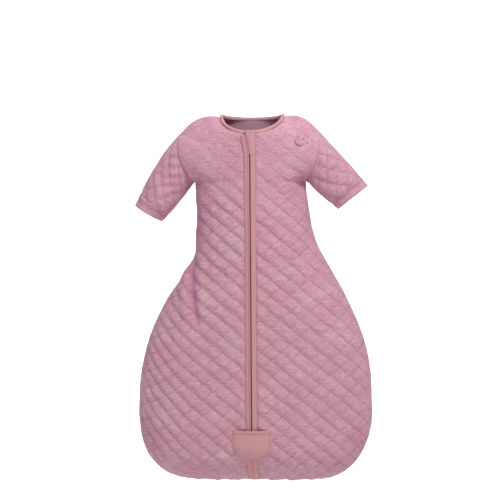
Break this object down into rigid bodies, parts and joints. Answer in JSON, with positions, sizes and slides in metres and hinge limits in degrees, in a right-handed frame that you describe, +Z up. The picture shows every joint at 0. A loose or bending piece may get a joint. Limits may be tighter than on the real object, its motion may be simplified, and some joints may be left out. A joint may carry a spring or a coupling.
{
  "type": "baby sleeping bag",
  "caption": "Quilted baby sleeping bag with short sleeves, a wide rounded skirt and a front zip that closes down into a fabric garage.",
  "frame": {"origin": "centre of the neck opening, on the plane of the zip", "axes": "+Z up towards the head, -Y out of the front with the zip, +X towards the wearer's left"},
  "size_m": [0.386, 0.1237, 0.5999],
  "materials": {
    "quilted_jersey": "matte",
    "batting": "matte",
    "lining_jersey": "matte",
    "trim_binding": "matte",
    "zipper_tape": "matte",
    "zipper_coil": "satin",
    "zipper_metal": "satin",
    "embroidery": "satin"
  },
  "bodies": {
    "bag": {"left_front_shell": "quilted_jersey", "left_front_batting": "batting", "left_front_lining": "lining_jersey", "right_front_shell": "quilted_jersey", "right_front_batting": "batting", "right_front_lining": "lining_jersey", "back_shell": "quilted_jersey", "back_batting": "batting", "back_lining": "lining_jersey", "neck_binding": "trim_binding", "chin_guard": "trim_binding", "left_placket": "trim_binding", "right_placket": "trim_binding", "lower_placket": "trim_binding", "left_zipper_tape": "zipper_tape", "right_zipper_tape": "zipper_tape", "left_coil": "zipper_coil", "right_coil": "zipper_coil", "zipper_top_stop": "zipper_coil", "zipper_foot_box": "zipper_coil", "inner_zip_guard": "lining_jersey", "zipper_garage": "trim_binding", "chest_motif": "embroidery"},
    "slider": {"slider_body": "zipper_metal"},
    "pull": {"pull_tab": "zipper_metal"},
    "left_sleeve": {"left_sleeve_shell": "quilted_jersey", "left_sleeve_batting": "batting", "left_sleeve_lining": "lining_jersey", "left_cuff_hem": "quilted_jersey"},
    "right_sleeve": {"right_sleeve_shell": "quilted_jersey", "right_sleeve_batting": "batting", "right_sleeve_lining": "lining_jersey", "right_cuff_hem": "quilted_jersey"}
  },
  "joints": [
    {"name": "zip_slide", "type": "slide", "parent": "bag", "child": "slider", "axis": [0, 0.0157, 0.9999], "range_m": [0, 0.448]},
    {"name": "pull_hinge", "type": "hinge", "parent": "slider", "child": "pull", "pos_m": [0, -0.06217, -0.5154], "axis": [-1, 0, 0], "range_deg": [0, 160]},
    {"name": "left_sleeve_swing", "type": "hinge", "parent": "bag", "child": "left_sleeve", "pos_m": [0.08, 0, -0.054], "axis": [0, -1, 0], "range_deg": [-10, 30]},
    {"name": "right_sleeve_swing", "type": "hinge", "parent": "bag", "child": "right_sleeve", "pos_m": [-0.08, 0, -0.054], "axis": [0, 1, 0], "range_deg": [-10, 30]}
  ],
  "couplings": [
    {"joint": "pull_hinge", "follows": "zip_slide", "rad_per_m": 6.2}
  ]
}
